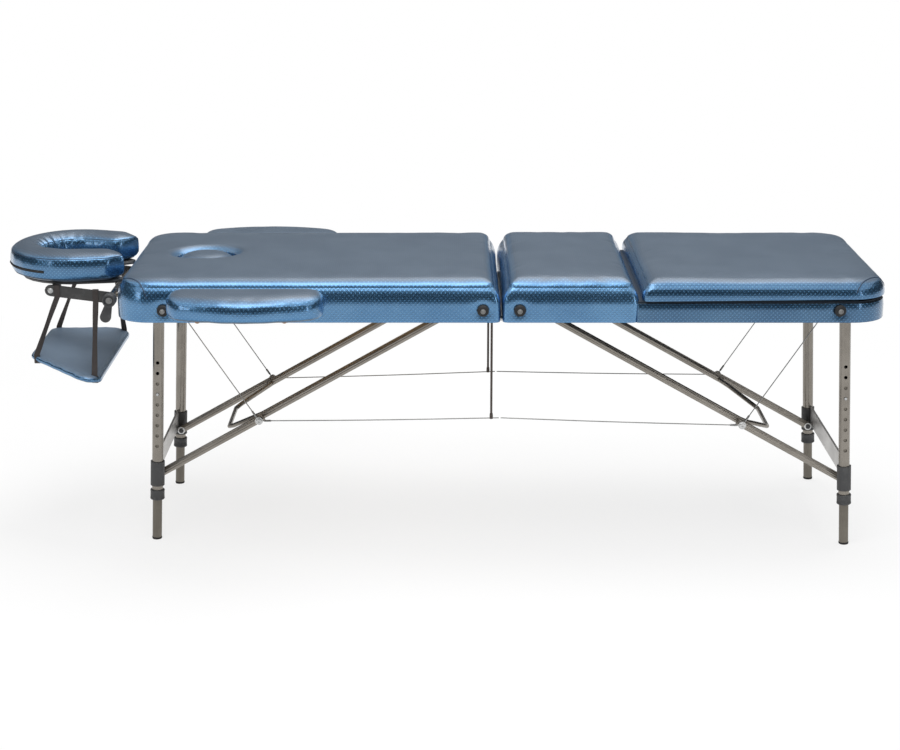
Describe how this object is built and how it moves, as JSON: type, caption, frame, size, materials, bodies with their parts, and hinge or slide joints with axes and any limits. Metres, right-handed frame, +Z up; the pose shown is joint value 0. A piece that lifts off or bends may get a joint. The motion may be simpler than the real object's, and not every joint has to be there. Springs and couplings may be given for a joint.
{
  "type": "folding massage table",
  "caption": "Portable treatment table whose padded halves fold on telescopic braced legs, with lift-up backrest, face cradle, arm shelf and side armrests.",
  "frame": {"origin": "centre of the overall box, on the floor", "axes": "+X along the table from head end to foot end, +Y away from the side that has the bumpers, +Z up"},
  "size_m": [2.147, 0.86, 0.7145],
  "materials": {
    "vinyl": "pearl blue embossed vinyl over foam",
    "tube": "bronze-grey anodised",
    "rail": "mill",
    "steel": "zinc plated",
    "plastic": "dark grey moulded",
    "wood": "clear lacquered",
    "board": "plywood",
    "webbing": "woven"
  },
  "bodies": {
    "head_half": {"head_frame": "rail", "head_deck": "board", "head_pad": "vinyl", "head_hinge_leaf": "steel", "bumper_head_outer": "plastic", "bumper_head_inner": "plastic", "head_carry_handle": "plastic", "head_near_wire": "steel", "head_far_wire": "steel", "hanger_cord": "webbing"},
    "foot_half": {"foot_frame": "rail", "foot_deck": "board", "seat_pad": "vinyl", "foot_cover": "vinyl", "foot_hinge_leaf": "steel", "bumper_foot_inner": "plastic", "bumper_foot_outer": "plastic", "foot_carry_handle": "plastic", "foot_near_wire": "steel", "foot_far_wire": "steel"},
    "backrest": {"back_board": "board", "back_pad": "vinyl"},
    "back_prop": {"back_prop": "steel"},
    "face_plug": {"face_plug": "vinyl"},
    "case_latch_1": {"case_latch_1": "steel"},
    "case_latch_2": {"case_latch_2": "steel"},
    "head_leg": {"head_leg_frame": "tube", "head_cross_plate": "plastic"},
    "head_upper_brace": {"head_upper_brace": "tube", "head_release_bow": "tube"},
    "head_lower_brace": {"head_near_lower_brace": "tube", "head_far_lower_brace": "tube"},
    "head_near_lower_leg": {"head_near_lower_tube": "tube"},
    "head_near_button": {"head_near_leg_button": "steel"},
    "head_far_lower_leg": {"head_far_lower_tube": "tube"},
    "head_far_button": {"head_far_leg_button": "steel"},
    "foot_leg": {"foot_leg_frame": "tube", "foot_cross_plate": "plastic"},
    "foot_upper_brace": {"foot_upper_brace": "tube", "foot_release_bow": "tube"},
    "foot_lower_brace": {"foot_near_lower_brace": "tube", "foot_far_lower_brace": "tube"},
    "foot_near_lower_leg": {"foot_near_lower_tube": "tube"},
    "foot_near_button": {"foot_near_leg_button": "steel"},
    "foot_far_lower_leg": {"foot_far_lower_tube": "tube"},
    "foot_far_button": {"foot_far_leg_button": "steel"},
    "cradle_bracket": {"cradle_bracket": "tube"},
    "cradle_arms": {"cradle_arms": "tube", "shelf_strap_1": "webbing", "shelf_strap_2": "webbing"},
    "cam_lever": {"cam_lever": "plastic"},
    "cradle_platform": {"cradle_platform": "plastic", "cradle_cushion": "vinyl"},
    "arm_shelf": {"arm_shelf": "vinyl"},
    "near_armrest": {"near_armrest_board": "wood", "near_armrest_pad": "vinyl"},
    "far_armrest": {"far_armrest_board": "wood", "far_armrest_pad": "vinyl"}
  },
  "joints": [
    {"name": "center_fold", "type": "hinge", "parent": "head_half", "child": "foot_half", "pos_m": [0.1485, 0, 0.5749], "axis": [0, 1, 0], "range_deg": [0, 180], "deforming": ["head_near_wire", "head_far_wire", "foot_near_wire", "foot_far_wire", "hanger_cord"]},
    {"name": "head_leg_fold", "type": "hinge", "parent": "head_half", "child": "head_leg", "pos_m": [-0.6795, 0, 0.597], "axis": [0, -1, 0], "range_deg": [0, 92.69]},
    {"name": "head_upper_brace_fold", "type": "hinge", "parent": "head_half", "child": "head_upper_brace", "pos_m": [0.0935, 0, 0.605], "axis": [0, 1, 0], "range_deg": [0, 29.42]},
    {"name": "head_lower_brace_fold", "type": "hinge", "parent": "head_leg", "child": "head_lower_brace", "pos_m": [-0.69192, 0, 0.1621], "axis": [0, -1, 0], "range_deg": [0, 57.89]},
    {"name": "head_near_leg_slide", "type": "slide", "parent": "head_leg", "child": "head_near_lower_leg", "axis": [-0.0469, 0, -0.9989], "range_m": [-0.0532, 0.1064]},
    {"name": "head_near_button_press", "type": "slide", "parent": "head_near_lower_leg", "child": "head_near_button", "axis": [0, 1, 0], "range_m": [0, 0.004], "stiffness_N_per_m": 600},
    {"name": "head_far_leg_slide", "type": "slide", "parent": "head_leg", "child": "head_far_lower_leg", "axis": [-0.0469, 0, -0.9989], "range_m": [-0.0532, 0.1064]},
    {"name": "head_far_button_press", "type": "slide", "parent": "head_far_lower_leg", "child": "head_far_button", "axis": [0, -1, 0], "range_m": [0, 0.004], "stiffness_N_per_m": 600},
    {"name": "foot_leg_fold", "type": "hinge", "parent": "foot_half", "child": "foot_leg", "pos_m": [0.9765, 0, 0.597], "axis": [0, 1, 0], "range_deg": [0, 92.69]},
    {"name": "foot_upper_brace_fold", "type": "hinge", "parent": "foot_half", "child": "foot_upper_brace", "pos_m": [0.2035, 0, 0.605], "axis": [0, -1, 0], "range_deg": [0, 29.42]},
    {"name": "foot_lower_brace_fold", "type": "hinge", "parent": "foot_leg", "child": "foot_lower_brace", "pos_m": [0.98892, 0, 0.1621], "axis": [0, 1, 0], "range_deg": [0, 57.89]},
    {"name": "foot_near_leg_slide", "type": "slide", "parent": "foot_leg", "child": "foot_near_lower_leg", "axis": [0.0469, 0, -0.9989], "range_m": [-0.0532, 0.1064]},
    {"name": "foot_near_button_press", "type": "slide", "parent": "foot_near_lower_leg", "child": "foot_near_button", "axis": [0, 1, 0], "range_m": [0, 0.004], "stiffness_N_per_m": 600},
    {"name": "foot_far_leg_slide", "type": "slide", "parent": "foot_leg", "child": "foot_far_lower_leg", "axis": [0.0469, 0, -0.9989], "range_m": [-0.0532, 0.1064]},
    {"name": "foot_far_button_press", "type": "slide", "parent": "foot_far_lower_leg", "child": "foot_far_button", "axis": [0, -1, 0], "range_m": [0, 0.004], "stiffness_N_per_m": 600},
    {"name": "back_lift", "type": "hinge", "parent": "foot_half", "child": "backrest", "pos_m": [0.481, 0, 0.672], "axis": [0, -1, 0], "range_deg": [0, 65]},
    {"name": "back_prop_swing", "type": "hinge", "parent": "backrest", "child": "back_prop", "pos_m": [0.701, 0, 0.6333], "axis": [0, 1, 0], "range_deg": [0, 112.51]},
    {"name": "face_plug_lift", "type": "slide", "parent": "head_half", "child": "face_plug", "axis": [0, 0, 1], "range_m": [0, 0.08]},
    {"name": "case_latch_1_swing", "type": "hinge", "parent": "head_half", "child": "case_latch_1", "pos_m": [-0.2635, 0.3, 0.596], "axis": [0, 1, 0], "range_deg": [-25, 80]},
    {"name": "case_latch_2_swing", "type": "hinge", "parent": "head_half", "child": "case_latch_2", "pos_m": [-0.6885, 0.3, 0.596], "axis": [0, 1, 0], "range_deg": [-25, 80]},
    {"name": "cradle_slide", "type": "slide", "parent": "head_half", "child": "cradle_bracket", "axis": [-1, 0, 0], "range_m": [0, 0.05]},
    {"name": "cradle_tilt", "type": "hinge", "parent": "cradle_bracket", "child": "cradle_arms", "pos_m": [-0.8065, 0, 0.602], "axis": [0, -1, 0], "range_deg": [0, 25]},
    {"name": "cam_lever_throw", "type": "hinge", "parent": "cradle_arms", "child": "cam_lever", "pos_m": [-0.8065, 0, 0.602], "axis": [0, 1, 0], "range_deg": [0, 110]},
    {"name": "platform_tilt", "type": "hinge", "parent": "cradle_arms", "child": "cradle_platform", "pos_m": [-0.9535, 0, 0.621], "axis": [0, -1, 0], "range_deg": [0, 25]},
    {"name": "shelf_height", "type": "slide", "parent": "cradle_arms", "child": "arm_shelf", "axis": [0, 0, 1], "range_m": [0, 0.06], "deforming": ["shelf_strap_1", "shelf_strap_2"]},
    {"name": "near_armrest_slide", "type": "slide", "parent": "head_half", "child": "near_armrest", "axis": [0, -1, 0], "range_m": [0, 0.03]},
    {"name": "far_armrest_slide", "type": "slide", "parent": "head_half", "child": "far_armrest", "axis": [0, 1, 0], "range_m": [0, 0.03]}
  ],
  "couplings": [
    {"joint": "head_leg_fold", "follows": "center_fold", "ratio": 0.51494},
    {"joint": "head_upper_brace_fold", "follows": "center_fold", "ratio": 0.16344},
    {"joint": "head_lower_brace_fold", "follows": "center_fold", "ratio": 0.32162},
    {"joint": "foot_leg_fold", "follows": "center_fold", "ratio": 0.51494},
    {"joint": "foot_upper_brace_fold", "follows": "center_fold", "ratio": 0.16344},
    {"joint": "foot_lower_brace_fold", "follows": "center_fold", "ratio": 0.32162},
    {"joint": "back_prop_swing", "follows": "back_lift", "ratio": 1.731}
  ]
}
